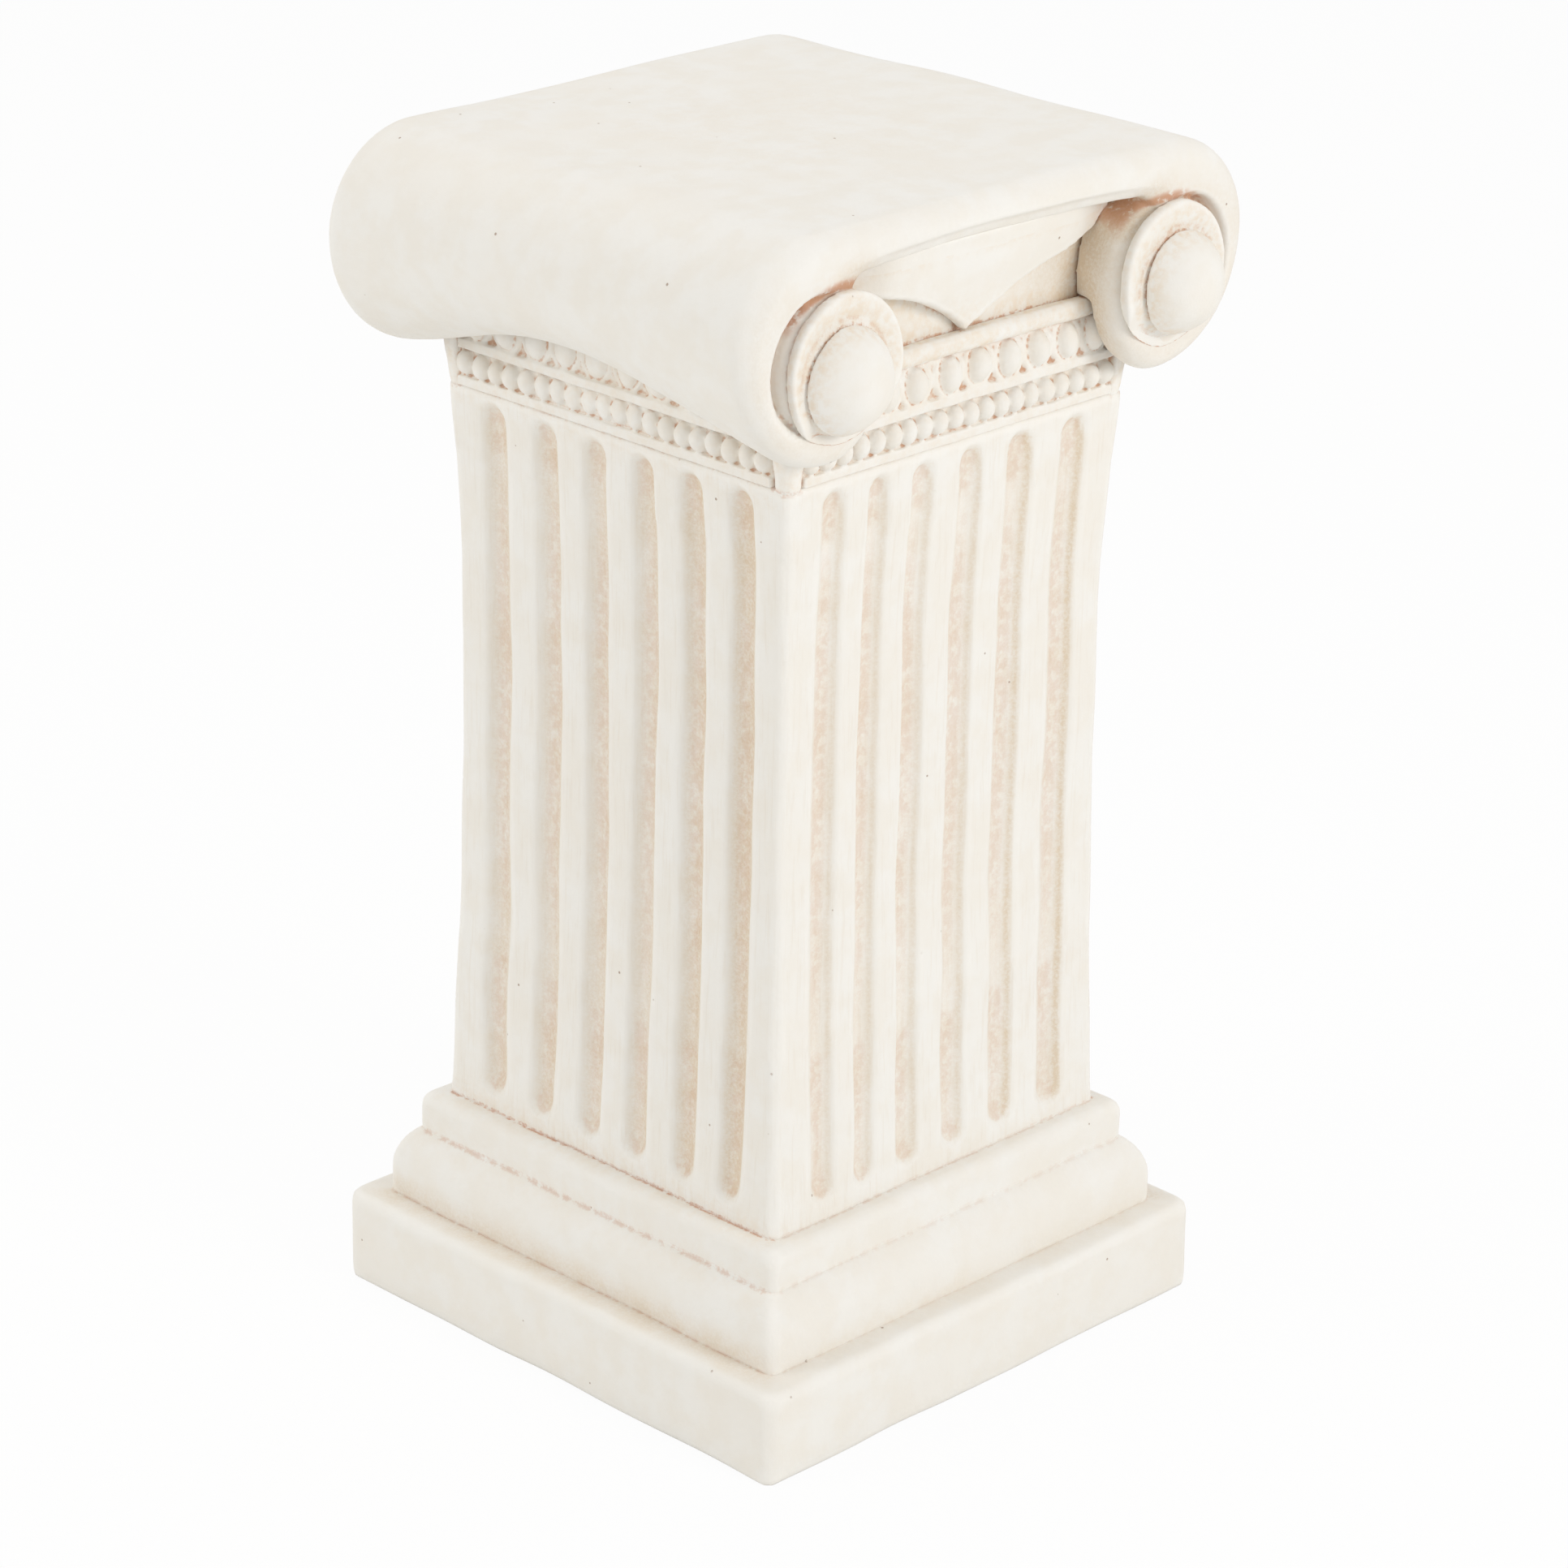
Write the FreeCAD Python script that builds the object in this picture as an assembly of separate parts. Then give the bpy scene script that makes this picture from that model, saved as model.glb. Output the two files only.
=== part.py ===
# Cast pedestal in the form of a short square column with a scroll capital.
# It is a hollow stack of cast sections: each section drops a tongue into the rebate of
# the one below, and the capital's ornament is let into, or pinned to, its core.
# Millimetres, +Z up, origin at the centre of the underside. The front, with two of the
# four volutes, faces -Y. The rolls of the scroll run along Y on the left and the right.
import FreeCAD, Part

import math
import os

from FreeCAD import Vector

# ---- driving dimensions -----------------------------------------------------------

# plinth and base mouldings
plinth_width = 152.0
plinth_height = 24.0
plinth_corner_radius = 4.0
plinth_edge_radius = 2.5
ovolo_width = 136.6
ovolo_height = 18.0
ovolo_upright = 7.0
fillet_width = 125.4
fillet_height = 10.0
fillet_edge_radius = 3.4
moulding_corner_radius = 2.5

# shaft
shaft_height = 186.7
shaft_foot_width = 115.2
shaft_waist_width = 109.8
shaft_head_width = 114.0
shaft_waist_height = 122.0
shaft_corner_radius = 2.0

# flutes, the same on all four faces
flute_count = 6
flute_pitch = 16.5
flute_width = 8.4
flute_depth = 3.0
flute_foot_margin = 4.5
flute_head_margin = 2.8

# the hollow and the lap joints between the sections
shaft_wall = 10.9
tongue_thickness = 4.7
tongue_depth = 6.0
lap_gap = 0.3

# capital core and the courses that are let into its four faces
course_length = 104.0
course_seat_width = 109.0
course_end_gap = 0.2
bead_course_height = 9.2
bead_fillet_height = 2.4
bead_fillet_width = 115.2
bead_bed_width = 114.2
bead_count = 20
bead_pitch = 5.2
bead_width = 5.0
bead_height = 5.6
bead_projection = 2.3
egg_course_height = 11.8
egg_fillet_height = 2.4
egg_fillet_width = 115.6
egg_bed_width = 114.4
egg_count = 10
egg_pitch = 10.2
egg_width = 8.0
egg_height = 8.6
egg_projection = 2.8
ledge_height = 4.8
ledge_width = 117.0
core_head_width = 120.0
core_neck_height = 25.5
core_roof = 10.0
core_corner_radius = 3.0
peg_width = 60.0
peg_height = 6.0

# scroll: a slab whose left and right edges roll down
slab_thickness = 11.0
scroll_length = 141.4
roll_end_reach = 84.2
roll_middle_reach = 82.4
roll_end_drop = 55.6
roll_middle_drop = 39.4
roll_end_foot = 54.0
roll_middle_foot = 66.0
roll_end_widest_drop = 24.5
roll_middle_widest_drop = 20.5
slab_end_flat_width = 117.0
slab_middle_flat_width = 121.0
roll_flare_power = 1.36
roll_brow_angle = 106.0
lip_sag = 3.0
top_trim = 0.02
lip_edge_radius = 5.5
lip_cove_radius = 5.0
lip_cove_depth = 2.4
lip_cove_drop = 1.0
lip_cove_reach = 57.0

# volutes
volute_spacing = 110.0
volute_drop = 30.4
disc_radius = 17.6
disc_projection = 2.8
disc_edge_radius = 1.0
coil_radius = 16.3
coil_offset = 4.6
coil_lift = 1.5
coil_depth = 3.5
eye_spacing = 112.0
eye_drop = 32.4
eye_radius = 12.7
eye_height = 9.5
pin_radius = 6.0
pin_length = 8.0
pin_gap = 0.15

# apron, the pointed drop between two volutes
apron_drop = 25.0
apron_width = 92.0
apron_tip_thickness = 3.4
apron_head_thickness = 9.6
apron_end_height = 6.9
apron_tip_flank_x = 10.1
apron_tip_flank_rise = 9.7
apron_end_flank_x = 28.5
apron_end_flank_rise = 13.5

# ---- heights and places that follow from them -------------------------------------

plinth_top = plinth_height
ovolo_top = plinth_top + ovolo_height
shaft_foot = ovolo_top + fillet_height
shaft_waist = shaft_foot + shaft_waist_height
shaft_head = shaft_foot + shaft_height
egg_course_foot = shaft_head + bead_course_height
ledge_foot = egg_course_foot + egg_course_height
ledge_top = ledge_foot + ledge_height
core_top = ledge_top + core_neck_height
slab_top = core_top + slab_thickness

hollow_width = shaft_waist_width - 2 * shaft_wall
tongue_width = hollow_width + 2 * tongue_thickness
volute_x = volute_spacing / 2
volute_z = slab_top - volute_drop
eye_x = eye_spacing / 2
eye_z = slab_top - eye_drop
end_plane = scroll_length / 2

# the handle of a curve that follows a quarter of an ellipse, as a share of its half width
QUARTER = 0.5523
# the rings of a dome: how far out they lie and how wide they are, as shares
DOME_SIDES = 8
DOME_RINGS = ((0.0, 1.0), (0.55, 0.84), (1.0, 0.42))
# the shaft's sides and flutes curve in this many straight runs below the waist, and above it
RUNS_BELOW = 4
RUNS_ABOVE = 3
# and so does the cove under the lip, from the middle to either end
COVE_RUNS = 3
# where the scroll's outline is set along the rolls, from one end to the other
SCROLL_PLACES = (-1, -0.6, 0, 0.6, 1)
FRONT, RIGHT, BACK, LEFT = 0, 90, 180, 270
FACES = {"front": FRONT, "right": RIGHT, "back": BACK, "left": LEFT}
CORNERS = {
    "front_left": (-1, -1),
    "front_right": (1, -1),
    "back_left": (-1, 1),
    "back_right": (1, 1),
}
UP = Vector(0, 0, 1)
ORIGIN = Vector(0, 0, 0)


# ---- shared shapes ----------------------------------------------------------------

def block(width_x, width_y, low, high):
    """A rectangular block centred on the column's axis."""
    corner = Vector(-width_x / 2, -width_y / 2, low)
    return Part.makeBox(width_x, width_y, high - low, corner)


def outline(points):
    """A closed face through the points, with straight sides."""
    return Part.Face(Part.makePolygon(points + points[:1]))


def square_wire(width, radius, height):
    """A square with rounded corners, level at the given height."""
    half = width / 2
    square = Part.makePolygon([
        Vector(-half, -half, height), Vector(half, -half, height),
        Vector(half, half, height), Vector(-half, half, height),
        Vector(-half, -half, height),
    ])
    face = Part.Face(square)
    slab = face.extrude(Vector(0, 0, 1))
    upright = [edge for edge in slab.Edges if abs(edge.tangentAt(edge.FirstParameter).z) > 0.9]
    rounded = slab.makeFillet(radius, upright)
    bottom = [item for item in rounded.Faces if item.normalAt(0, 0).z < -0.9]
    return bottom[0].OuterWire


def four_sided(profile):
    """A square pillar whose four sides all follow one upright profile."""
    ends = [vertex.Point for edge in profile for vertex in edge.Vertexes]
    foot = min(ends, key=lambda point: point.z)
    head = max(ends, key=lambda point: point.z)
    mirrored = [edge.mirror(ORIGIN, Vector(1, 0, 0)) for edge in profile]
    top = Part.makeLine(head, Vector(-head.x, 0, head.z))
    bottom = Part.makeLine(foot, Vector(-foot.x, 0, foot.z))
    plate = Part.Face(Part.Wire(Part.__sortEdges__(profile + [top] + mirrored + [bottom])))
    reach = plate.BoundBox.XMax + 1
    along_y = plate.translated(Vector(0, -reach, 0)).extrude(Vector(0, 2 * reach, 0))
    return along_y.common(along_y.rotated(ORIGIN, UP, 90))


def corner_edges(pillar):
    """The rising corner edges of a square pillar."""
    found = []
    for edge in pillar.Edges:
        box = edge.BoundBox
        if box.ZLength > 1 and abs(abs(box.Center.x) - abs(box.Center.y)) < 0.5:
            found.append(edge)
    return found


def sag_radius(height, sag):
    """The radius of an arc that leaves the upright and moves out by sag over height."""
    return (height ** 2 + sag ** 2) / (2 * sag)


def add_tongue(section, foot):
    """Hang the square tongue that drops into the section below."""
    tongue = block(tongue_width, tongue_width, foot - tongue_depth, foot)
    return section.fuse(tongue)


def cut_hollow(section, low, high):
    """Cut the hollow that runs up through the column."""
    return section.cut(block(hollow_width, hollow_width, low - tongue_depth - 1, high))


def cut_rebate(section, top):
    """Cut the rebate that takes the tongue of the section above."""
    width = tongue_width + 2 * lap_gap
    return section.cut(block(width, width, top - tongue_depth - lap_gap, top + 1))


def behind(point, ahead, size):
    """A block that fills the room behind a point, square to the way ahead."""
    room = Part.makeBox(size, size, size, Vector(-size / 2, -size / 2, -size))
    room.Placement = FreeCAD.Placement(point, FreeCAD.Rotation(UP, ahead))
    return room


def mitred_bar(path, radius):
    """Round bars end to end along a path, mitred where they meet."""
    ways = [(after - before).normalize() for before, after in zip(path, path[1:])]
    bars = []
    for number, way in enumerate(ways):
        start, end = path[number], path[number + 1]
        first = number == 0
        last = number == len(ways) - 1
        over_start = 0 if first else radius
        over_end = 0 if last else radius
        bar = Part.makeCylinder(radius, (end - start).Length + over_start + over_end,
                                start - way * over_start, way)
        if not first:
            bar = bar.cut(behind(start, ways[number - 1] + way, 4 * radius))
        if not last:
            bar = bar.cut(behind(end, (way + ways[number + 1]) * -1, 4 * radius))
        bars.append(bar)
    return bars


def turned(shape, angle):
    """Turn a shape about the column's axis."""
    return shape.rotated(ORIGIN, UP, angle)


# ---- plinth and base mouldings ----------------------------------------------------

def make_plinth():
    slab = block(plinth_width, plinth_width, 0, plinth_top)
    upright = [edge for edge in slab.Edges if edge.BoundBox.ZLength > 1]
    slab = slab.makeFillet(plinth_corner_radius, upright)
    rim = [edge for edge in slab.Edges if edge.BoundBox.ZMin > plinth_top - 0.01]
    slab = slab.makeFillet(plinth_edge_radius, rim)
    return cut_rebate(cut_hollow(slab, 0, plinth_top + 1), plinth_top)


def make_base_ovolo():
    """Upright at the foot, then rounded in to the fillet above."""
    sag = (ovolo_width - fillet_width) / 2
    rise = ovolo_height - ovolo_upright
    radius = sag_radius(rise, sag)
    half_swing = math.asin(rise / radius) / 2
    foot = Vector(ovolo_width / 2, 0, plinth_top)
    turn = foot + Vector(0, 0, ovolo_upright)
    middle = turn + Vector(-radius * (1 - math.cos(half_swing)), 0,
                           radius * math.sin(half_swing))
    head = Vector(fillet_width / 2, 0, ovolo_top)
    profile = [Part.makeLine(foot, turn), Part.Arc(turn, middle, head).toShape()]
    body = four_sided(profile)
    body = body.makeFillet(moulding_corner_radius, corner_edges(body))
    body = cut_hollow(add_tongue(body, plinth_top), plinth_top, ovolo_top + 1)
    return cut_rebate(body, ovolo_top)


def make_base_fillet():
    body = block(fillet_width, fillet_width, ovolo_top, shaft_foot)
    upright = [edge for edge in body.Edges if edge.BoundBox.ZLength > 1]
    body = body.makeFillet(moulding_corner_radius, upright)
    rim = [edge for edge in body.Edges if edge.BoundBox.ZMin > shaft_foot - 0.01]
    body = body.makeFillet(fillet_edge_radius, rim)
    body = cut_hollow(add_tongue(body, ovolo_top), ovolo_top, shaft_foot + 1)
    return cut_rebate(body, shaft_foot)


# ---- shaft ------------------------------------------------------------------------

def runs_from_waist(height, sag, drop, runs):
    """The ends of the runs from the waist on; drop is -1 to the foot and 1 to the head."""
    radius = sag_radius(height, sag)
    points = []
    for step in range(runs + 1):
        rise = height * step / runs
        out = radius - math.sqrt(radius ** 2 - rise ** 2)
        points.append(Vector(shaft_waist_width / 2 + out, 0, shaft_waist + drop * rise))
    return points


def side_points():
    """Where the shaft's side bends, from its foot to its head."""
    foot_sag = (shaft_foot_width - shaft_waist_width) / 2
    head_sag = (shaft_head_width - shaft_waist_width) / 2
    lower = runs_from_waist(shaft_waist_height, foot_sag, -1, RUNS_BELOW)
    upper = runs_from_waist(shaft_height - shaft_waist_height, head_sag, 1, RUNS_ABOVE)
    return lower[::-1] + upper[1:]


def shaft_profile():
    """The half width of the shaft, in straight runs that follow two long arcs."""
    points = side_points()
    return [Part.makeLine(start, end) for start, end in zip(points, points[1:])]


def on_run(start, end, height):
    """The point of a straight run at a height."""
    return start + (end - start) * ((height - start.z) / (end.z - start.z))


def flute_path(lift):
    """The middle line of a flute's round bar, which runs this far in front of the face."""
    low = shaft_foot + flute_foot_margin + flute_width / 2
    high = shaft_head - flute_head_margin - flute_width / 2
    points = side_points()
    inner = [point for point in points if low < point.z < high]
    first = on_run(points[0], inner[0], low)
    last = on_run(inner[-1], points[-1], high)
    return [Vector(0, -(point.x + lift), point.z) for point in [first] + inner + [last]]


def make_flute():
    """A round-ended groove that follows the front face, as a bar to be cut from it."""
    radius = (flute_width ** 2 / 4 + flute_depth ** 2) / (2 * flute_depth)
    path = flute_path(radius - flute_depth)
    ends = [Part.makeSphere(radius, path[0]), Part.makeSphere(radius, path[-1])]
    bars = mitred_bar(path, radius)
    return bars[0].fuse(bars[1:] + ends)


def make_shaft():
    body = four_sided(shaft_profile())
    body = body.makeFillet(shaft_corner_radius, corner_edges(body))
    flute = make_flute()
    first = -flute_pitch * (flute_count - 1) / 2
    flutes = []
    for angle in FACES.values():
        for number in range(flute_count):
            placed = flute.translated(Vector(first + number * flute_pitch, 0, 0))
            flutes.append(turned(placed, angle))
    body = body.cut(flutes)
    body = cut_hollow(add_tongue(body, shaft_foot), shaft_foot, shaft_head + 1)
    return cut_rebate(body, shaft_head)


# ---- capital core and its courses -------------------------------------------------

def make_capital_core():
    """A block that flares to the ledge, with a plain neck above it under the slab."""
    foot = square_wire(shaft_head_width, core_corner_radius, shaft_head)
    head = square_wire(core_head_width, core_corner_radius, ledge_top)
    body = Part.makeLoft([foot, head], True, True)
    room_depth = (core_head_width - course_seat_width) / 2 + 1
    corner = Vector(-course_length / 2 - course_end_gap, -core_head_width / 2 - 1, shaft_head)
    seat = Part.makeBox(course_length + 2 * course_end_gap, room_depth,
                        ledge_top - shaft_head, corner)
    for angle in FACES.values():
        body = body.cut(turned(seat, angle))
    body = body.fuse(block(core_head_width, course_seat_width, ledge_top, core_top))
    body = body.fuse(block(peg_width, peg_width, core_top, core_top + peg_height))
    body = add_tongue(body, shaft_head)
    return cut_hollow(body, shaft_head, core_top - core_roof).removeSplitter()


def dome(width, height, projection):
    """A low faceted dome that stands on the plane y = 0 and points to -Y."""
    rings = []
    for depth, share in DOME_RINGS:
        ring = []
        for step in range(DOME_SIDES):
            angle = 2 * math.pi * (step + 0.5) / DOME_SIDES
            ring.append(Vector(share * width / 2 * math.cos(angle), -depth * projection,
                               share * height / 2 * math.sin(angle)))
        rings.append(ring)
    faces = [outline(rings[0]), outline(rings[-1])]
    for lower, upper in zip(rings, rings[1:]):
        for step in range(DOME_SIDES):
            after = (step + 1) % DOME_SIDES
            faces.append(outline([lower[step], lower[after], upper[after], upper[step]]))
    return Part.makeSolid(Part.makeShell(faces))


def strip(points):
    """Extrude an upright section of a course, given as (outward, height), along X."""
    section = [Vector(-course_length / 2, -outward, height) for outward, height in points]
    return outline(section).extrude(Vector(course_length, 0, 0))


def set_row(body, single, count, pitch):
    """Stand a centred row of equal domes on a course."""
    first = -pitch * (count - 1) / 2
    row = [single.translated(Vector(first + number * pitch, 0, 0)) for number in range(count)]
    return body.fuse(row).removeSplitter()


def make_bead_course():
    back = course_seat_width / 2
    fillet = bead_fillet_width / 2
    bed = bead_bed_width / 2
    step = shaft_head + bead_fillet_height
    body = strip([(back, shaft_head), (fillet, shaft_head), (fillet, step), (bed, step),
                  (bed, egg_course_foot), (back, egg_course_foot)])
    centre = (step + egg_course_foot) / 2
    bead = dome(bead_width, bead_height, bead_projection).translated(Vector(0, -bed, centre))
    return set_row(body, bead, bead_count, bead_pitch)


def make_egg_course():
    back = course_seat_width / 2
    fillet = egg_fillet_width / 2
    bed = egg_bed_width / 2
    step = egg_course_foot + egg_fillet_height
    body = strip([(back, egg_course_foot), (fillet, egg_course_foot), (fillet, step),
                  (bed, step), (bed, ledge_foot), (back, ledge_foot)])
    centre = (step + ledge_foot) / 2
    egg = dome(egg_width, egg_height, egg_projection).translated(Vector(0, -bed, centre))
    return set_row(body, egg, egg_count, egg_pitch)


def make_ledge():
    """A bar with a rounded nose."""
    back = course_seat_width / 2
    nose = ledge_width / 2
    shoulder = nose - ledge_height / 4
    corners = [Vector(-course_length / 2, -shoulder, ledge_foot),
               Vector(-course_length / 2, -nose, (ledge_foot + ledge_top) / 2),
               Vector(-course_length / 2, -shoulder, ledge_top),
               Vector(-course_length / 2, -back, ledge_top),
               Vector(-course_length / 2, -back, ledge_foot)]
    edges = [Part.Arc(*corners[:3]).toShape()]
    for start, end in ((2, 3), (3, 4), (4, 0)):
        edges.append(Part.makeLine(corners[start], corners[end]))
    return Part.Face(Part.Wire(edges)).extrude(Vector(course_length, 0, 0))


# ---- scroll -----------------------------------------------------------------------

def blend(middle, end, share):
    """A size between the roll's middle and its end."""
    return middle + (end - middle) * share


def quarter(start, end, first_along_x):
    """A quarter of an ellipse that leaves along X, or along Z, and arrives square to it."""
    across = Vector(QUARTER * (end.x - start.x), 0, 0)
    rise = Vector(0, 0, QUARTER * (end.z - start.z))
    curve = Part.BezierCurve()
    if first_along_x:
        curve.setPoles([start, start + across, end - rise, end])
    else:
        curve.setPoles([start, start + rise, end - across, end])
    return curve.toShape()


def line(start, end):
    """A straight edge in the same form as the curved ones."""
    curve = Part.BezierCurve()
    step = (end - start) / 3
    curve.setPoles([start, start + step, end - step, end])
    return curve.toShape()


def scroll_section(y):
    """The outline of slab and rolls at one place along the rolls."""
    share = (abs(y) / end_plane) ** roll_flare_power
    flat = blend(slab_middle_flat_width, slab_end_flat_width, share) / 2
    reach = blend(roll_middle_reach, roll_end_reach, share)
    widest = slab_top - blend(roll_middle_widest_drop, roll_end_widest_drop, share)
    foot = blend(roll_middle_foot, roll_end_foot, share)
    lowest = slab_top - blend(roll_middle_drop, roll_end_drop, share)
    inner = volute_x - disc_radius
    brow = math.radians(roll_brow_angle)
    points = [
        Vector(flat, y, slab_top + top_trim),
        Vector(reach, y, widest),
        Vector(foot, y, lowest),
        Vector(inner, y, volute_z),
        Vector(volute_x + disc_radius * math.cos(brow), y,
               volute_z + disc_radius * math.sin(brow)),
        Vector(apron_width / 2 + lap_gap, y, core_top),
    ]
    edges = [quarter(points[0], points[1], True), quarter(points[1], points[2], False),
             quarter(points[2], points[3], True)]
    swing = math.radians(180) - brow
    handle = 4 / 3 * math.tan(swing / 4) * disc_radius
    arrive = Vector(-math.sin(brow), 0, math.cos(brow)) * handle
    curve = Part.BezierCurve()
    curve.setPoles([points[3], points[3] + Vector(0, 0, handle), points[4] + arrive, points[4]])
    edges.append(curve.toShape())
    edges.append(line(points[4], points[5]))
    return points, edges


def scroll_wire(y):
    points, edges = scroll_section(y)
    mirrored = [edge.mirror(ORIGIN, Vector(1, 0, 0)) for edge in edges]
    top = line(Vector(-points[0].x, y, points[0].z), points[0])
    under = line(points[-1], Vector(-points[-1].x, y, core_top))
    return Part.Wire(Part.__sortEdges__([top] + edges + [under] + mirrored))


def lip_bow():
    """The radius of the slab's front and back edges, seen from above."""
    return sag_radius(slab_end_flat_width / 2, lip_sag)


def lip_cutter():
    """What is cut away in front of the slab to leave its edge bowed inwards."""
    half = slab_end_flat_width / 2
    centre = Vector(0, -(end_plane - lip_sag + lip_bow()), core_top)
    round_bar = Part.makeCylinder(lip_bow(), slab_thickness + 1, centre)
    near_slab = Part.makeBox(2 * half, scroll_length, slab_thickness + 1,
                             Vector(-half, -1.5 * scroll_length, core_top))
    return round_bar.common(near_slab)


def cove_cutter():
    """The cove under the lip: deepest in the middle, and it runs out towards the volutes."""
    ridge = end_plane - lip_sag
    run_out = lip_bow() - math.sqrt(lip_bow() ** 2 - lip_cove_reach ** 2)
    bend = sag_radius(lip_cove_reach, run_out + lip_cove_depth)
    path = []
    for step in range(-COVE_RUNS, COVE_RUNS + 1):
        along = lip_cove_reach * step / COVE_RUNS
        out = bend - math.sqrt(bend ** 2 - along ** 2)
        path.append(Vector(along, -(ridge - lip_cove_depth + lip_cove_radius + out),
                           core_top - lip_cove_drop))
    bars = mitred_bar(path, lip_cove_radius)
    return bars[0].fuse(bars[1:])


def rim_edges(body):
    """The edges round the slab's lips and down round the outside of the rolls' ends."""
    found = []
    for edge in body.Edges:
        box = edge.BoundBox
        at_end = min(abs(box.YMin), abs(box.YMax)) > end_plane - lip_sag - 0.01
        across = box.XLength > 1 and box.YLength < lip_sag + 0.01
        on_top = box.ZMin > slab_top + top_trim - 0.01
        outside = max(abs(box.XMin), abs(box.XMax)) > slab_end_flat_width / 2 + 1
        if at_end and across and (on_top or outside):
            found.append(edge)
    return found


def core_room():
    """The space inside the scroll that the capital core stands in."""
    wide = core_head_width + 2 * lap_gap
    low = slab_top - roll_end_drop - 1
    band = block(wide, wide, low, ledge_top + lap_gap)
    neck = block(wide, course_seat_width + 2 * lap_gap, low, core_top)
    peg = block(peg_width + 2 * lap_gap, peg_width + 2 * lap_gap, core_top - 1,
                core_top + peg_height + lap_gap)
    return [band, neck, peg]


def above_top():
    """What is faced off, a hair thick, to leave the top truly flat."""
    return block(3 * roll_end_reach, 2 * scroll_length, slab_top, slab_top + 1)


def upright_disc(centre_x, centre_z, radius, near, far):
    """A cylinder that lies along Y between two distances in front of the centre."""
    start = Vector(centre_x, -far, centre_z)
    return Part.makeCylinder(radius, far - near, start, Vector(0, 1, 0))


def volute_cuts():
    """The coil's crescent and the pin hole, for the volute at the front right."""
    floor = end_plane - coil_depth
    outer = upright_disc(volute_x + coil_offset, volute_z + coil_lift, coil_radius,
                         floor, end_plane + 1)
    inner = upright_disc(volute_x, volute_z, disc_radius, floor - 1, end_plane + 2)
    hole = upright_disc(eye_x, eye_z, pin_radius + pin_gap,
                        end_plane - pin_length - pin_gap, end_plane + 1)
    return [outer.cut(inner), hole]


def to_corner(shape, corner):
    """Carry a shape from the front right volute to another one."""
    side, depth = corner
    if side < 0:
        shape = shape.mirror(ORIGIN, Vector(1, 0, 0))
    if depth > 0:
        shape = shape.mirror(ORIGIN, Vector(0, 1, 0))
    return shape


def make_scroll():
    wires = [scroll_wire(share * end_plane) for share in SCROLL_PLACES]
    body = Part.makeLoft(wires, True, False)
    lip = lip_cutter()
    body = body.cut([lip, turned(lip, BACK)])
    body = body.makeFillet(lip_edge_radius, rim_edges(body))
    cove = cove_cutter()
    body = body.cut([cove, turned(cove, BACK)] + core_room())
    for corner in CORNERS.values():
        body = body.cut([to_corner(shape, corner) for shape in volute_cuts()])
    return body.cut(above_top())


# ---- volute discs, eyes and aprons ------------------------------------------------

def make_disc():
    """The raised inner turn of a volute, bored for the eye's pin."""
    front = end_plane + disc_projection
    body = upright_disc(volute_x, volute_z, disc_radius, end_plane, front)
    rim = [edge for edge in body.Edges if edge.BoundBox.YMax < -front + 0.01]
    body = body.makeFillet(disc_edge_radius, rim)
    hole = upright_disc(eye_x, eye_z, pin_radius + pin_gap, end_plane - 1, front + 1)
    return body.cut(hole)


def make_eye():
    """A domed boss on a round pin."""
    face = end_plane + disc_projection
    sphere_radius = (eye_radius ** 2 + eye_height ** 2) / (2 * eye_height)
    centre = Vector(eye_x, -(face + eye_height - sphere_radius), eye_z)
    ball = Part.makeSphere(sphere_radius, centre, Vector(0, -1, 0))
    keep = upright_disc(eye_x, eye_z, eye_radius + 1, face, face + eye_height + 1)
    pin = upright_disc(eye_x, eye_z, pin_radius, end_plane - pin_length, face + 1)
    return ball.common(keep).fuse(pin)


def make_apron():
    """A pointed drop with hollow sides, thick under the lip and thin at its tip."""
    half = apron_width / 2
    back = course_seat_width / 2
    tip_z = core_top - apron_drop
    tip = Vector(0, -back, tip_z)
    heel = Vector(half, -back, core_top - apron_end_height)
    curve = Part.BezierCurve()
    curve.setPoles([tip, Vector(apron_tip_flank_x, -back, tip_z + apron_tip_flank_rise),
                    Vector(apron_end_flank_x, -back, tip_z + apron_end_flank_rise), heel])
    side = curve.toShape()
    top = Vector(half, -back, core_top)
    right = [side, Part.makeLine(heel, top)]
    left = [edge.mirror(ORIGIN, Vector(1, 0, 0)) for edge in right]
    across = Part.makeLine(top, Vector(-half, -back, core_top))
    face = Part.Face(Part.Wire(Part.__sortEdges__(right + [across] + left)))
    body = face.extrude(Vector(0, -apron_head_thickness, 0))
    wedge = outline([
        Vector(-half - 1, -back - apron_head_thickness, core_top),
        Vector(-half - 1, -back - apron_tip_thickness, tip_z),
        Vector(-half - 1, -back - apron_tip_thickness, tip_z - 1),
        Vector(-half - 1, -back - apron_head_thickness - 1, tip_z - 1),
        Vector(-half - 1, -back - apron_head_thickness - 1, core_top),
    ]).extrude(Vector(apron_width + 2, 0, 0))
    body = body.cut(wedge)
    for side_x in (-volute_x, volute_x):
        room = upright_disc(side_x, volute_z, disc_radius + lap_gap, back - 1, end_plane)
        body = body.cut(room)
    return body


# ---- writing the sub-parts --------------------------------------------------------

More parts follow.
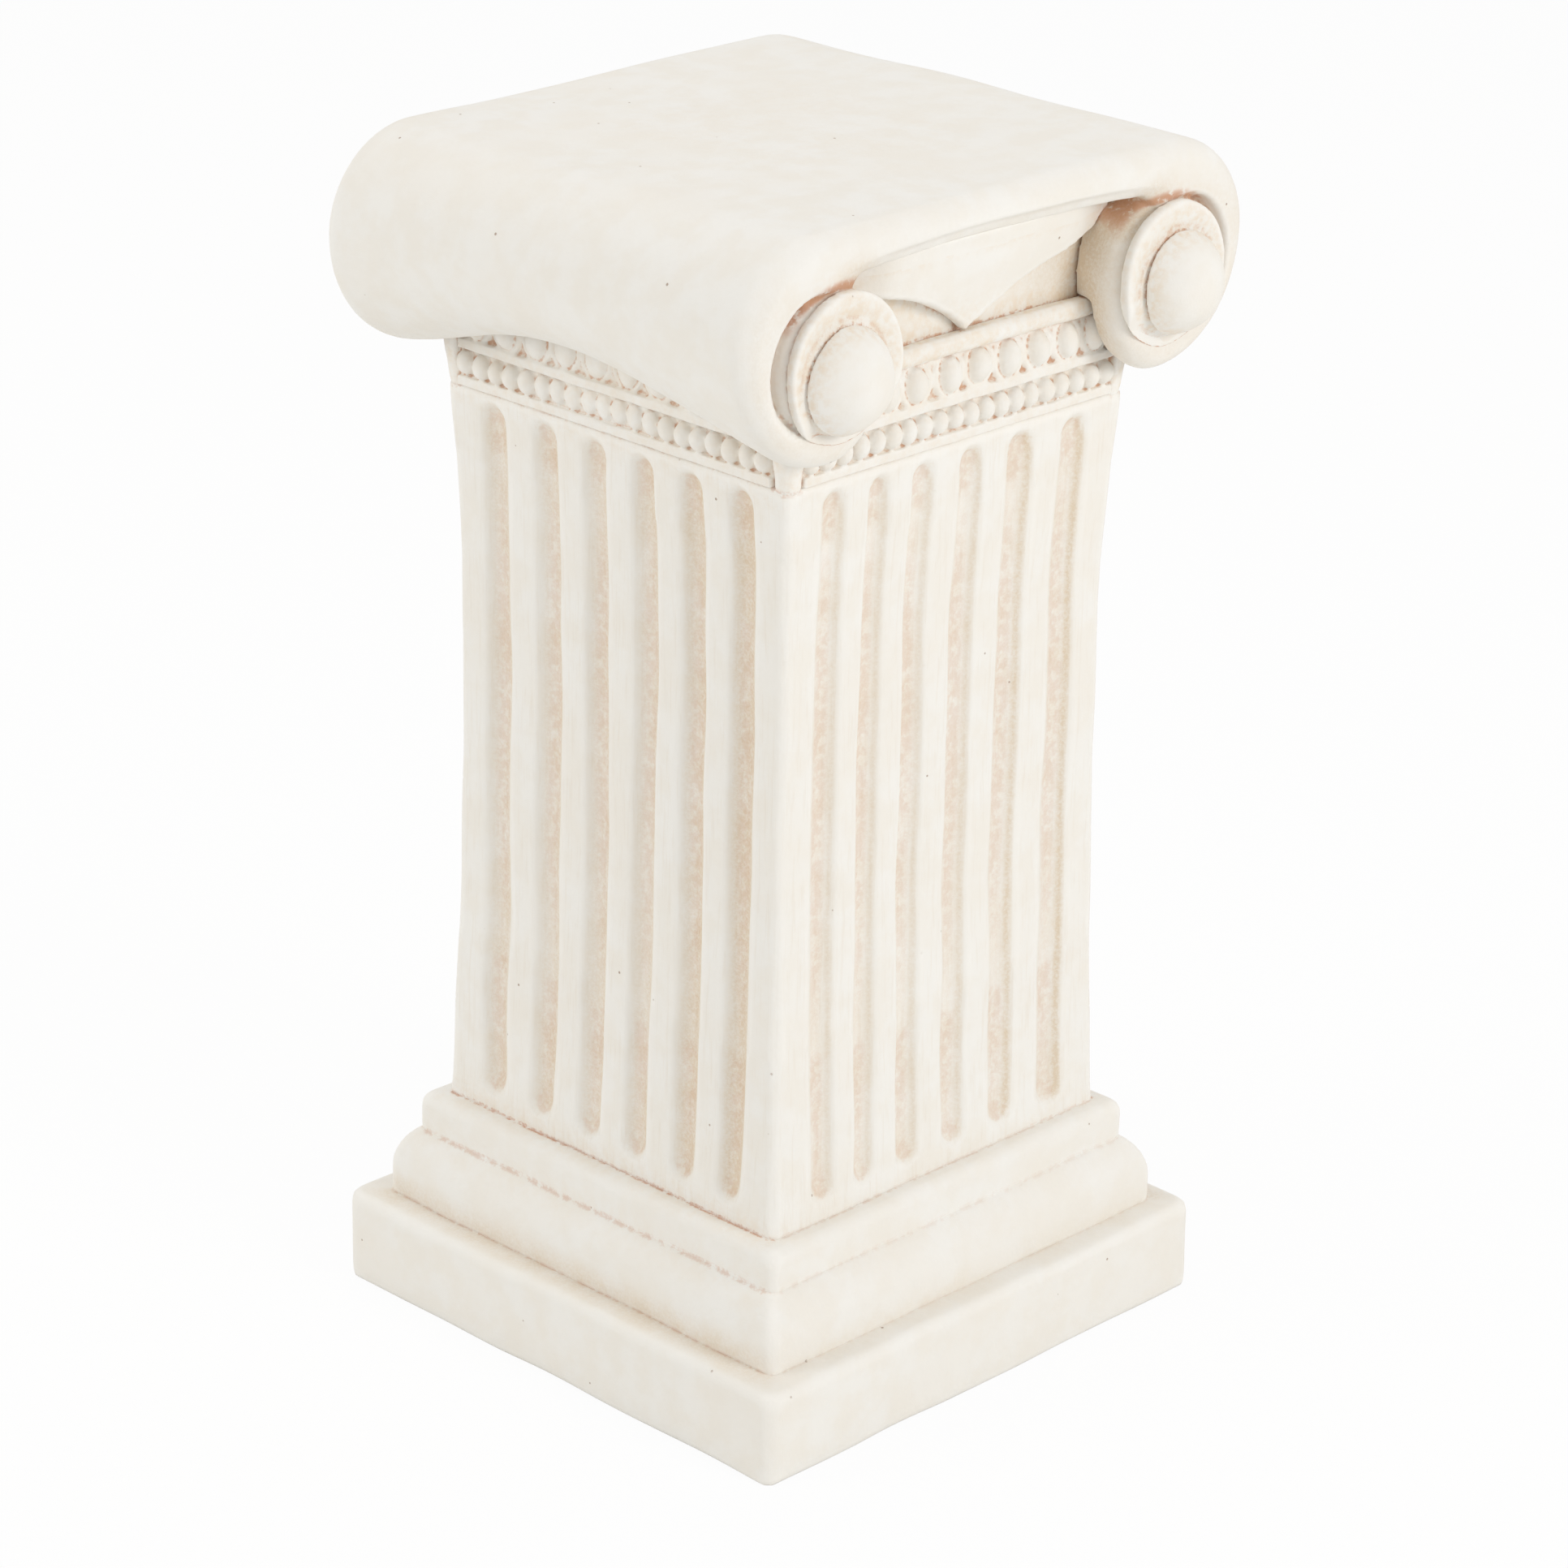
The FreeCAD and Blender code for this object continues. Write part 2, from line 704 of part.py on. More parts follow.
def build():
    nodes = {
        "plinth": make_plinth(),
        "base_ovolo": make_base_ovolo(),
        "base_fillet": make_base_fillet(),
        "shaft": make_shaft(),
        "capital_core": make_capital_core(),
        "scroll": make_scroll(),
    }
    courses = {"bead_course": make_bead_course(), "egg_course": make_egg_course(),
               "ledge": make_ledge()}
    for name, angle in FACES.items():
        for kind, shape in courses.items():
            nodes[kind + "_" + name] = turned(shape, angle)
    apron = make_apron()
    nodes["apron_front"] = apron
    nodes["apron_back"] = turned(apron, BACK)
    disc = make_disc()
    eye = make_eye()
    for name, corner in CORNERS.items():
        nodes["volute_disc_" + name] = to_corner(disc, corner)
        nodes["volute_eye_" + name] = to_corner(eye, corner)
    return nodes


os.makedirs("parts", exist_ok=True)
for node_name, node_shape in build().items():
    if not node_shape.isValid() or node_shape.Volume <= 0:
        raise ValueError(node_name + " is not a sound solid")
    node_shape.exportStep("parts/" + node_name + ".step")
    print(node_name, len(node_shape.Solids), round(node_shape.Volume / 1000, 2), "ml")
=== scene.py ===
import math

import bpy
import numpy as np
from mathutils import Matrix, Vector, noise
from mathutils.bvhtree import BVHTree


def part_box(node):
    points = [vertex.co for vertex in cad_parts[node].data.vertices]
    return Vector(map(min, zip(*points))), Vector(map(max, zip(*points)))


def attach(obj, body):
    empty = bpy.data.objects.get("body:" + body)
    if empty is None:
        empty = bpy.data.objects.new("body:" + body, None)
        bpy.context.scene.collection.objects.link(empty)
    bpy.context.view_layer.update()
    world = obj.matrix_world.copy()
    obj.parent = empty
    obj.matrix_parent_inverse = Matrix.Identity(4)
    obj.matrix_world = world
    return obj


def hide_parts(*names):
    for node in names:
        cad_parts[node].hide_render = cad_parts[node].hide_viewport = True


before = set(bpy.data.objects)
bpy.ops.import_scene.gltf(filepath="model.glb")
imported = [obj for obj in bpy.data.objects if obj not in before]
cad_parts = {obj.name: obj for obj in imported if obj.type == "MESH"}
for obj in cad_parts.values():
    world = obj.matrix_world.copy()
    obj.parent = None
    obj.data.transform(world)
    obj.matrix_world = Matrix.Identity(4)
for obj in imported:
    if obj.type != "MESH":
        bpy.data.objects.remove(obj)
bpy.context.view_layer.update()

# the waves in the pieces' skins come out the same each time
noise.seed_set(3)

MM = 0.001
FACES = {"front": 0, "right": 90, "back": 180, "left": 270}
CORNERS = {"front_left": (-1, -1), "front_right": (1, -1), "back_left": (-1, 1), "back_right": (1, 1)}


def corners_of(node):
    """The low and the high corner of a CAD node's box, in millimetres."""
    return [[round(value / MM, 2) for value in corner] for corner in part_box(node)]


def top_of(node):
    return corners_of(node)[1][2]


def circle_of(node):
    """Middle and radius of a round CAD node, seen from the front: across, height, radius."""
    low, high = corners_of(node)
    return (low[0] + high[0]) / 2, (low[2] + high[2]) / 2, (high[0] - low[0]) / 2


# heights of the joints between the sections and between the capital's courses, in millimetres
PLINTH_TOP, OVOLO_TOP, SHAFT_FOOT = top_of("plinth"), top_of("base_ovolo"), top_of("base_fillet")
SHAFT_HEAD = top_of("shaft")
EGG_FOOT, LEDGE_FOOT = top_of("bead_course_front"), top_of("egg_course_front")
# how far the rolls' ends and the rims' faces stand from the middle of the pedestal
END_PLANE = corners_of("scroll")[1][1]
RIM_FACE = -corners_of("volute_disc_front_right")[0][1]
# the front right volute's rim and eye, and the coil that the roll makes round them
RIM_X, RIM_Z, RIM_RADIUS = circle_of("volute_disc_front_right")
EYE_X, EYE_Z, EYE_RADIUS = circle_of("volute_eye_front_right")
COIL_X, COIL_Z, COIL_RADIUS = 59.6, 272.1, 16.3
# where the courses' backs lie, and how long the courses are
COURSE_BACK, COURSE_LENGTH = 54.5, 104.0


# ---- handling pieces ----------------------------------------------------------------

def only(piece):
    bpy.ops.object.select_all(action="DESELECT")
    piece.select_set(True)
    bpy.context.view_layer.objects.active = piece


def apply_all(piece):
    only(piece)
    for modifier in list(piece.modifiers):
        bpy.ops.object.modifier_apply(modifier=modifier.name)


def weld(piece):
    only(piece)
    bpy.ops.object.mode_set(mode="EDIT")
    bpy.ops.mesh.select_all(action="SELECT")
    bpy.ops.mesh.remove_doubles(threshold=0.00002)
    bpy.ops.mesh.normals_make_consistent(inside=False)
    bpy.ops.object.mode_set(mode="OBJECT")


def copy_of(node, name):
    """A merged copy of a CAD node's shape, to be softened."""
    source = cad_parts[node]
    piece = bpy.data.objects.new(name, source.data.copy())
    bpy.context.scene.collection.objects.link(piece)
    piece.data.materials.clear()
    weld(piece)
    return piece


def soften(piece, voxel, passes):
    """Give the shape an even skin and round its edges, as a worn mould does."""
    skin = piece.modifiers.new("skin", "REMESH")
    skin.mode = "VOXEL"
    skin.voxel_size = voxel * MM
    skin.use_smooth_shade = True
    rub = piece.modifiers.new("rub", "SMOOTH")
    rub.factor = 0.5
    rub.iterations = passes
    apply_all(piece)


def points_of(piece):
    flat = np.empty(len(piece.data.vertices) * 3)
    piece.data.vertices.foreach_get("co", flat)
    return flat.reshape(-1, 3) / MM


def move_points(piece, points):
    piece.data.vertices.foreach_set("co", (points * MM).reshape(-1))
    piece.data.update()


def smooth_step(low, high, value):
    share = np.clip((value - low) / (high - low), 0, 1)
    return share * share * (3 - 2 * share)


def uneven(piece, size, amount, seed):
    """Push the skin about by slow hand-made waves, at most amount millimetres."""
    points = points_of(piece)
    shift = Vector((seed * 17.3, seed * 5.1, seed * 9.7))
    waves = np.array([noise.noise_vector(Vector(point) / size + shift) for point in points])
    return points + waves * amount


def keep_inside(points, node):
    """No point leaves the CAD node's own box."""
    low, high = (np.array(corner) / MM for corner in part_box(node))
    return np.clip(points, low, high)


def finish_shape(piece):
    only(piece)
    bpy.ops.object.shade_smooth()
    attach(piece, "root")


# ---- camera, stage and lamps --------------------------------------------------------

# the camera's direction and tilt in degrees, and its distance, shift and lift in half widths of the plinth
CAMERA_TURN, CAMERA_HEIGHT, CAMERA_ROLL = -45.80, 22.06, 1.08
CAMERA_DISTANCE, CAMERA_SHIFT, CAMERA_LIFT, AIM_HEIGHT = 16.376, 0.017, -0.195, 2.0
# the lens's focal length and the photograph's width, in the photograph's pixels
FOCAL_LENGTH, PHOTO_WIDTH, SENSOR_WIDTH = 6290, 1932, 36


def camera_axes():
    azimuth, height, roll = (math.radians(angle) for angle in (CAMERA_TURN, CAMERA_HEIGHT, CAMERA_ROLL))
    back = Vector((math.sin(azimuth) * math.cos(height), -math.cos(azimuth) * math.cos(height),
                   math.sin(height)))
    across = Vector((math.cos(azimuth), math.sin(azimuth), 0))
    up = back.cross(across) * -1
    up = up if up.z > 0 else -up
    right = across * math.cos(roll) + up * math.sin(roll)
    above = up * math.cos(roll) - across * math.sin(roll)
    return right, above, back


def set_camera():
    right, above, back = camera_axes()
    half_plinth = corners_of("plinth")[1][0] * MM
    spot = Vector((0, 0, AIM_HEIGHT)) + back * CAMERA_DISTANCE + right * CAMERA_SHIFT + above * CAMERA_LIFT
    camera = bpy.data.objects.new("camera", bpy.data.cameras.new("camera"))
    bpy.context.scene.collection.objects.link(camera)
    camera.matrix_world = Matrix((
        (right.x, above.x, back.x, spot.x * half_plinth),
        (right.y, above.y, back.y, spot.y * half_plinth),
        (right.z, above.z, back.z, spot.z * half_plinth),
        (0, 0, 0, 1)))
    camera.data.sensor_width = SENSOR_WIDTH
    camera.data.lens = FOCAL_LENGTH * SENSOR_WIDTH / PHOTO_WIDTH
    camera.data.clip_start = 0.01
    camera.data.dof.use_dof = False
    bpy.context.scene.camera = camera


class Value:
    """A socket in a shader, with arithmetic."""

    def __init__(self, sheet, socket):
        self.sheet = sheet
        self.socket = socket

    def math(self, kind, other=None, swap=False, clamp=False):
        first, second = (other, self) if swap else (self, other)
        return self.sheet.node("ShaderNodeMath", {"operation": kind, "use_clamp": clamp},
                               {0: first, 1: second} if other is not None else {0: first})

    def __add__(self, other):
        return self.math("ADD", other)

    def __radd__(self, other):
        return self.math("ADD", other, swap=True)

    def __sub__(self, other):
        return self.math("SUBTRACT", other)

    def __rsub__(self, other):
        return self.math("SUBTRACT", other, swap=True)

    def __mul__(self, other):
        return self.math("MULTIPLY", other)

    def __rmul__(self, other):
        return self.math("MULTIPLY", other, swap=True)

    def within(self, low, high):
        """0 below low, 1 above high, smooth between; also falls when low is above high."""
        node = {"interpolation_type": "SMOOTHSTEP", "clamp": True}
        if low < high:
            return self.sheet.node("ShaderNodeMapRange", node,
                                   {"Value": self, "From Min": low, "From Max": high}, "Result")
        return 1 - self.sheet.node("ShaderNodeMapRange", node,
                                   {"Value": self, "From Min": high, "From Max": low}, "Result")

    def held(self):
        return self.math("ADD", 0.0, clamp=True)

    def size(self):
        return self.math("ABSOLUTE")

    def most(self, other):
        return self.math("MAXIMUM", other)

    def power(self, other):
        return self.math("POWER", other)


class Sheet:
    """The node sheet of one material."""

    def __init__(self, name):
        self.material = bpy.data.materials.new(name)
        self.material.use_nodes = True
        self.tree = self.material.node_tree
        self.tree.nodes.clear()

    def node(self, kind, settings=None, inputs=None, output=0):
        made = self.tree.nodes.new(kind)
        for setting, value in (settings or {}).items():
            setattr(made, setting, value)
        for socket, value in (inputs or {}).items():
            if isinstance(value, Value):
                self.tree.links.new(value.socket, made.inputs[socket])
            else:
                made.inputs[socket].default_value = value
        return Value(self, made.outputs[output]) if made.outputs else None

    def place(self):
        """The point on the piece, in millimetres."""
        point = self.node("ShaderNodeTexCoord", output="Object")
        return self.node("ShaderNodeVectorMath", {"operation": "SCALE"}, {0: point, "Scale": 1000.0})

    def axes(self, point):
        split = self.node("ShaderNodeSeparateXYZ", {}, {0: point})
        outputs = split.socket.node.outputs
        return [Value(self, outputs[index]) for index in range(3)]

    def stretched(self, point, factors):
        return self.node("ShaderNodeVectorMath", {"operation": "MULTIPLY"}, {0: point, 1: factors})

    def grain(self, point, scale, detail=3.0, roughness=0.55):
        """Noise about 0.5, whose lumps are about 1/scale millimetres."""
        return self.node("ShaderNodeTexNoise", {"noise_dimensions": "3D"},
                         {"Vector": point, "Scale": scale, "Detail": detail, "Roughness": roughness},
                         "Fac")

    def cells(self, point, scale):
        found = self.node("ShaderNodeTexVoronoi", {"feature": "F1"},
                          {"Vector": point, "Scale": scale, "Randomness": 1.0}, "Distance")
        colour = Value(self, found.socket.node.outputs["Color"])
        return found, self.axes(colour)[0]

    def attribute(self, name):
        return self.node("ShaderNodeAttribute", {"attribute_type": "GEOMETRY", "attribute_name": name},
                         {}, "Fac")

    def mix(self, share, first, second):
        made = self.node("ShaderNodeMix", {"data_type": "RGBA", "blend_type": "MIX"},
                         {"Factor": share}, 2)
        links = made.socket.node.inputs
        for socket, value in ((links[6], first), (links[7], second)):
            if isinstance(value, Value):
                self.tree.links.new(value.socket, socket)
            else:
                socket.default_value = value
        return made

    def bump(self, height, distance, strength, below=None):
        inputs = {"Height": height, "Distance": distance * MM, "Strength": strength}
        if below is not None:
            inputs["Normal"] = below
        return self.node("ShaderNodeBump", {}, inputs, "Normal")

    def finish(self, colour, roughness, normal, specular=0.35):
        shader = self.node("ShaderNodeBsdfPrincipled", {}, {
            "Base Color": colour, "Roughness": roughness, "Normal": normal,
            "Specular IOR Level": specular}, "BSDF")
        self.node("ShaderNodeOutputMaterial", {}, {"Surface": shader})
        return self.material


def tone(red, green, blue):
    """A colour as it is seen, 0 to 255, turned to the linear values that a shader takes."""
    linear = []
    for value in (red, green, blue):
        value = value / 255
        linear.append(value / 12.92 if value <= 0.04045 else ((value + 0.055) / 1.055) ** 2.4)
    return (*linear, 1.0)


def set_stage():
    """A pale floor that keeps the object's shadow and is white to the camera."""
    bpy.ops.mesh.primitive_grid_add(x_subdivisions=4, y_subdivisions=4, size=6)
    floor = bpy.context.object
    floor.name = "floor"
    sheet = Sheet("pale floor")
    point = sheet.place()
    speckle = sheet.grain(point, 0.2)
    matt = sheet.node("ShaderNodeBsdfDiffuse", {}, {"Color": sheet.mix(
        speckle, tone(242, 242, 241), tone(246, 246, 245))}, "BSDF")
    bright = sheet.node("ShaderNodeEmission", {}, {"Color": (1, 1, 1, 1), "Strength": 1.0})
    path = sheet.node("ShaderNodeLightPath", output="Is Camera Ray")
    seen = sheet.node("ShaderNodeMixShader", {}, {0: path * 0.93, 1: matt, 2: bright})
    sheet.node("ShaderNodeOutputMaterial", {}, {"Surface": seen})
    floor.data.materials.append(sheet.material)
    world = bpy.data.worlds.new("studio")
    bpy.context.scene.world = world
    world.use_nodes = True
    nodes, links = world.node_tree.nodes, world.node_tree.links
    nodes.clear()
    path = nodes.new("ShaderNodeLightPath")
    seen = nodes.new("ShaderNodeMath")
    seen.operation = "MAXIMUM"
    links.new(path.outputs["Is Camera Ray"], seen.inputs[0])
    links.new(path.outputs["Is Glossy Ray"], seen.inputs[1])
    soft = nodes.new("ShaderNodeBackground")
    soft.inputs["Color"].default_value = (1.0, 0.99, 0.975, 1)
    soft.inputs["Strength"].default_value = 0.66
    white = nodes.new("ShaderNodeBackground")
    white.inputs["Color"].default_value = (1, 1, 1, 1)
    white.inputs["Strength"].default_value = 1.0
    pick = nodes.new("ShaderNodeMixShader")
    links.new(seen.outputs[0], pick.inputs["Fac"])
    links.new(soft.outputs[0], pick.inputs[1])
    links.new(white.outputs[0], pick.inputs[2])
    out = nodes.new("ShaderNodeOutputWorld")
    links.new(pick.outputs[0], out.inputs["Surface"])
    bpy.context.scene.view_settings.view_transform = "Standard"


def lamp(name, direction, distance, size, watts, colour):
    light = bpy.data.lights.new(name, "AREA")
    light.shape = "DISK"
    light.size = size
    light.energy = watts
    light.color = colour
    holder = bpy.data.objects.new(name, light)
    bpy.context.scene.collection.objects.link(holder)
    aim = Vector((0, 0, 0.16))
    way = Vector(direction).normalized()
    holder.location = aim + way * distance
    holder.rotation_euler = way.to_track_quat("Z", "Y").to_euler()


set_camera()
set_stage()
lamp("key lamp", (0.10, -0.92, 0.42), 1.5, 0.5, 6.3, (1.0, 0.99, 0.98))
lamp("side lamp", (-0.85, 0.45, 0.45), 1.6, 0.9, 5.0, (1.0, 0.99, 0.96))
lamp("top lamp", (0.2, 0.35, 1.0), 1.5, 1.2, 3.0, (1.0, 1.0, 1.0))


# ---- the sections of the column -----------------------------------------------------

FLUTE_PITCH = 16.5
# where the six flutes of each face stand, from left to right as one looks at that face
FLUTES = {
    "front": (-40.2, -26.4, -11.6, 4.6, 21.8, 40.4),
    "left": (-41.2, -23.2, -6.8, 9.6, 25.4, 41.4),
    "right": (-41.0, -25.2, -8.9, 8.0, 24.2, 41.3),
    "back": (-41.4, -24.2, -7.4, 8.6, 25.6, 41.0),
}


FLUTE_WANDER = 0.6
# what lies further from the middle than this is a section's outer edge, and how far its foot is let down
OUTER_FOOT, FOOT_SINK = 49.5, 1.3


def hand_cut_flutes(points):
    """Shift each flute sideways to its own place and let it wander, as cut by hand."""
    even = [(number - 2.5) * FLUTE_PITCH for number in range(6)]
    for name, angle in FACES.items():
        turn = math.radians(angle)
        cos, sin = math.cos(turn), math.sin(turn)
        across = points[:, 0] * cos + points[:, 1] * sin
        ahead = points[:, 0] * sin - points[:, 1] * cos
        on_face = (ahead > 49) & (np.abs(across) < ahead)
        shifts = [0.0] + [own - at for own, at in zip(FLUTES[name], even)] + [0.0]
        move = np.interp(across, [-55.0] + even + [55.0], shifts)
        wander = np.array([noise.noise(Vector((spot / 17.0, height / 42.0, angle)))
                           for spot, height in zip(across[on_face], points[on_face, 2])])
        fade = smooth_step(56, 47, np.abs(across[on_face]))
        move = move[on_face] + FLUTE_WANDER * wander * fade
        points[on_face, 0] += move * cos
        points[on_face, 1] += move * sin
    return points


def sink_foot(piece, foot):
    """Let a section's outer edge down into the one below, so that its rounded foot leaves no gap."""
    points = points_of(piece)
    outer = np.abs(points[:, :2]).max(axis=1) > OUTER_FOOT
    points[outer & (np.abs(points[:, 2] - foot) < 0.05), 2] -= FOOT_SINK
    move_points(piece, points)


def make_section(node, foot, voxel, passes, waves, seed):
    """One section: skinned at this grid, rubbed, and made uneven by waves of this height."""
    piece = copy_of(node, node + "_cast")
    if foot > 0:
        sink_foot(piece, foot)
    soften(piece, voxel, passes)
    points = uneven(piece, 26.0, waves, seed)
    if node == "shaft":
        points = hand_cut_flutes(points)
    move_points(piece, keep_inside(points, node))
    finish_shape(piece)
    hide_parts(node)
    return piece


sections = {
    "plinth": make_section("plinth", 0, voxel=1.25, passes=3, waves=0.55, seed=1),
    "base_ovolo": make_section("base_ovolo", PLINTH_TOP, voxel=1.2, passes=2, waves=0.5, seed=2),
    "base_fillet": make_section("base_fillet", OVOLO_TOP, voxel=1.1, passes=2, waves=0.45, seed=3),
    "shaft": make_section("shaft", SHAFT_FOOT, voxel=1.4, passes=2, waves=0.5, seed=4),
    "capital_core": make_section("capital_core", SHAFT_HEAD, voxel=1.2, passes=2, waves=0.4, seed=5),
}


# ---- scroll -------------------------------------------------------------------------

NECK_DEPTH, COIL_DEEPER = 3.0, 1.6


def hollow_neck(points):
    """The inner side of each roll draws back from its rim towards the core."""
    side = np.sign(points[:, 0])
    back = np.clip((END_PLANE - 1.5 - np.abs(points[:, 1])) / 15.0, 0, 1)
    across = np.abs(points[:, 0])
    share = smooth_step(52, 36, across) * smooth_step(290, 276, points[:, 2])
    points[:, 0] += side * NECK_DEPTH * back * share
    return points


def deepen_coils(points):
    """The recess between the outer turn and the rim goes in steeply."""
    across = np.abs(points[:, 0])
    coil = np.hypot(across - COIL_X, points[:, 2] - COIL_Z)
    rim = np.hypot(across - RIM_X, points[:, 2] - RIM_Z)
    in_coil = smooth_step(COIL_RADIUS + 0.7, COIL_RADIUS - 0.7, coil)
    off_rim = smooth_step(RIM_RADIUS - 1.0, RIM_RADIUS + 0.2, rim)
    at_end = smooth_step(END_PLANE - 6.5, END_PLANE - 4.5, np.abs(points[:, 1]))
    points[:, 1] -= np.sign(points[:, 1]) * COIL_DEEPER * in_coil * off_rim * at_end
    return points


def make_scroll():
    piece = copy_of("scroll", "scroll_cast")
    soften(piece, 1.1, 2)
    points = uneven(piece, 34.0, 0.7, 6)
    points = deepen_coils(hollow_neck(points))
    move_points(piece, keep_inside(points, "scroll"))
    finish_shape(piece)
    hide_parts("scroll")
    return piece


sections["scroll"] = make_scroll()


# ---- volutes ------------------------------------------------------------------------

def to_corner(piece, corner):
    """Mirror a piece made for the front right volute to another corner."""
    side, depth = CORNERS[corner]
    if side > 0 and depth < 0:
        return
    piece.data.transform(Matrix.Diagonal((side, -depth, 1, 1)))
    if side * -depth < 0:
        piece.data.flip_normals()


def make_rim(corner):
    """The inner turn: a broad rim with a dished face that runs out into the outer turn below."""
    node = "volute_disc_" + corner
    piece = copy_of("volute_disc_front_right", node + "_cast")
    soften(piece, 0.6, 5)
    points = points_of(piece)
    across, rise = points[:, 0] - RIM_X, points[:, 2] - RIM_Z
    radius = np.hypot(across, rise)
    angle = np.degrees(np.arctan2(-rise, across)) % 360
    face = smooth_step(END_PLANE, RIM_FACE, -points[:, 1])
    below = smooth_step(35, 70, angle) * smooth_step(165, 130, angle)
    edge = smooth_step(11.5, RIM_RADIUS - 0.4, radius)
    from_eye = np.hypot(points[:, 0] - EYE_X, points[:, 2] - EYE_Z)
    dish = np.exp(-((from_eye - EYE_RADIUS - 0.9) / 2.2) ** 2)
    points[:, 1] += face * (2.75 * below * edge + 0.7 * dish)
    move_points(piece, points)
    to_corner(piece, corner)
    move_points(piece, uneven(piece, 9.0, 0.3, 7))
    finish_shape(piece)
    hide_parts(node)
    return piece


def make_eye(corner):
    node = "volute_eye_" + corner
    piece = copy_of("volute_eye_front_right", node + "_cast")
    soften(piece, 0.6, 2)
    to_corner(piece, corner)
    move_points(piece, keep_inside(uneven(piece, 11.0, 0.45, 8), node))
    finish_shape(piece)
    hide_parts(node)
    return piece


rims = {corner: make_rim(corner) for corner in CORNERS}
eyes = {corner: make_eye(corner) for corner in CORNERS}


# ---- courses ------------------------------------------------------------------------

def worn(face, across):
    """How much relief is left along a course: the left face is rubbed in its middle, the right a little."""
    if face == "left":
        return 1 - 0.62 * math.exp(-((across + 6) / 17) ** 2)
    return 1 - 0.25 * math.exp(-((across - 20) / 20) ** 2) * (face == "right")


def add_ball(centre, sizes, segments, rings):
    bpy.ops.mesh.primitive_uv_sphere_add(segments=segments, ring_count=rings, radius=1)
    ball = bpy.context.object
    ball.scale = [size * MM for size in sizes]
    ball.location = [value * MM for value in centre]
    bpy.ops.object.transform_apply(location=True, rotation=True, scale=True)
    return ball


def add_collar(centre, width, height, thick):
    """The thin raised lip round the sides and the foot of an egg."""
    bpy.ops.mesh.primitive_torus_add(major_segments=28, minor_segments=8, major_radius=1,
                                     minor_radius=0.5, rotation=(math.pi / 2, 0, 0))
    ring = bpy.context.object
    bpy.ops.object.transform_apply(location=False, rotation=True, scale=False)
    points = points_of(ring) * MM
    angle = np.arctan2(points[:, 2], points[:, 0])
    middle = np.stack([np.cos(angle), np.zeros(len(angle)), np.sin(angle)], axis=1)
    spread = (points - middle) * 2
    fade = np.where(angle > 0.6, np.clip(1.15 - np.sin(angle) * 1.1, 0.05, 1), 1)
    placed = middle * [width, 1, height] + spread * thick * fade[:, None]
    placed += np.array(centre)
    move_points(ring, placed)
    return ring


def join_course(pieces, name):
    bpy.ops.object.select_all(action="DESELECT")
    for piece in pieces:
        piece.select_set(True)
    bpy.context.view_layer.objects.active = pieces[0]
    bpy.ops.object.join()
    joined = bpy.context.object
    joined.name = name
    return joined


def turned(points, angle):
    turn = math.radians(angle)
    cos, sin = math.cos(turn), math.sin(turn)
    return np.stack([points[:, 0] * cos - points[:, 1] * sin,
                     points[:, 0] * sin + points[:, 1] * cos, points[:, 2]], axis=1)


def bar(front, low, high):
    """A course's plain strip on the front face, from the course's back out to this distance."""
    bpy.ops.mesh.primitive_cube_add(size=1)
    strip = bpy.context.object
    strip.scale = (COURSE_LENGTH * MM, (front - COURSE_BACK) * MM, (high - low) * MM)
    strip.location = (0, -(front + COURSE_BACK) / 2 * MM, (low + high) / 2 * MM)
    bpy.ops.object.transform_apply(location=True, rotation=True, scale=True)
    return strip


STRIP_FACE = 56.2
BEAD_COUNT, BEAD_PITCH, BEAD_RISE = 20, 5.2, 5.7
EGG_COUNT, EGG_PITCH, EGG_RISE = 10, 10.2, 7.2


def make_bead_course(face):
    node = "bead_course_" + face
    foot = SHAFT_HEAD
    pieces = [bar(STRIP_FACE, foot - 0.8, EGG_FOOT + 0.4), bar(57.5, foot - 0.8, foot + 2.2)]
    rng = np.random.default_rng(11 + FACES[face])
    for number in range(BEAD_COUNT):
        across = (number - (BEAD_COUNT - 1) / 2) * BEAD_PITCH + rng.uniform(-0.25, 0.25)
        left = worn(face, across)
        centre = (across, -56.4, foot + BEAD_RISE + rng.uniform(-0.15, 0.15))
        pieces.append(add_ball(centre, (2.52, 2.95 * left, 3.1 + rng.uniform(-0.15, 0.15)), 16, 10))
    piece = join_course(pieces, node + "_cast")
    soften(piece, 0.38, 1)
    points = turned(points_of(piece), FACES[face])
    move_points(piece, points)
    move_points(piece, keep_inside(uneven(piece, 7.0, 0.3, 9), node))
    finish_shape(piece)
    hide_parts(node)
    return piece


def make_egg_course(face):
    node = "egg_course_" + face
    foot = EGG_FOOT
    pieces = [bar(STRIP_FACE, foot - 0.4, LEDGE_FOOT + 0.6), bar(57.7, foot - 0.4, foot + 2.3)]
    rng = np.random.default_rng(31 + FACES[face])
    for number in range(EGG_COUNT):
        across = (number - (EGG_COUNT - 1) / 2) * EGG_PITCH + rng.uniform(-0.4, 0.4)
        left = worn(face, across)
        centre = (across, -56.3, foot + EGG_RISE + rng.uniform(-0.2, 0.2))
        pieces.append(add_ball(centre, (3.4, 3.6 * left, 4.4), 20, 12))
        pieces.append(add_collar((across, -56.3, centre[2] + 0.2), 4.6, 5.2, left))
    piece = join_course(pieces, node + "_cast")
    soften(piece, 0.4, 1)
    points = turned(points_of(piece), FACES[face])
    move_points(piece, points)
    move_points(piece, keep_inside(uneven(piece, 8.0, 0.4, 10), node))
    finish_shape(piece)
    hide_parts(node)
    return piece


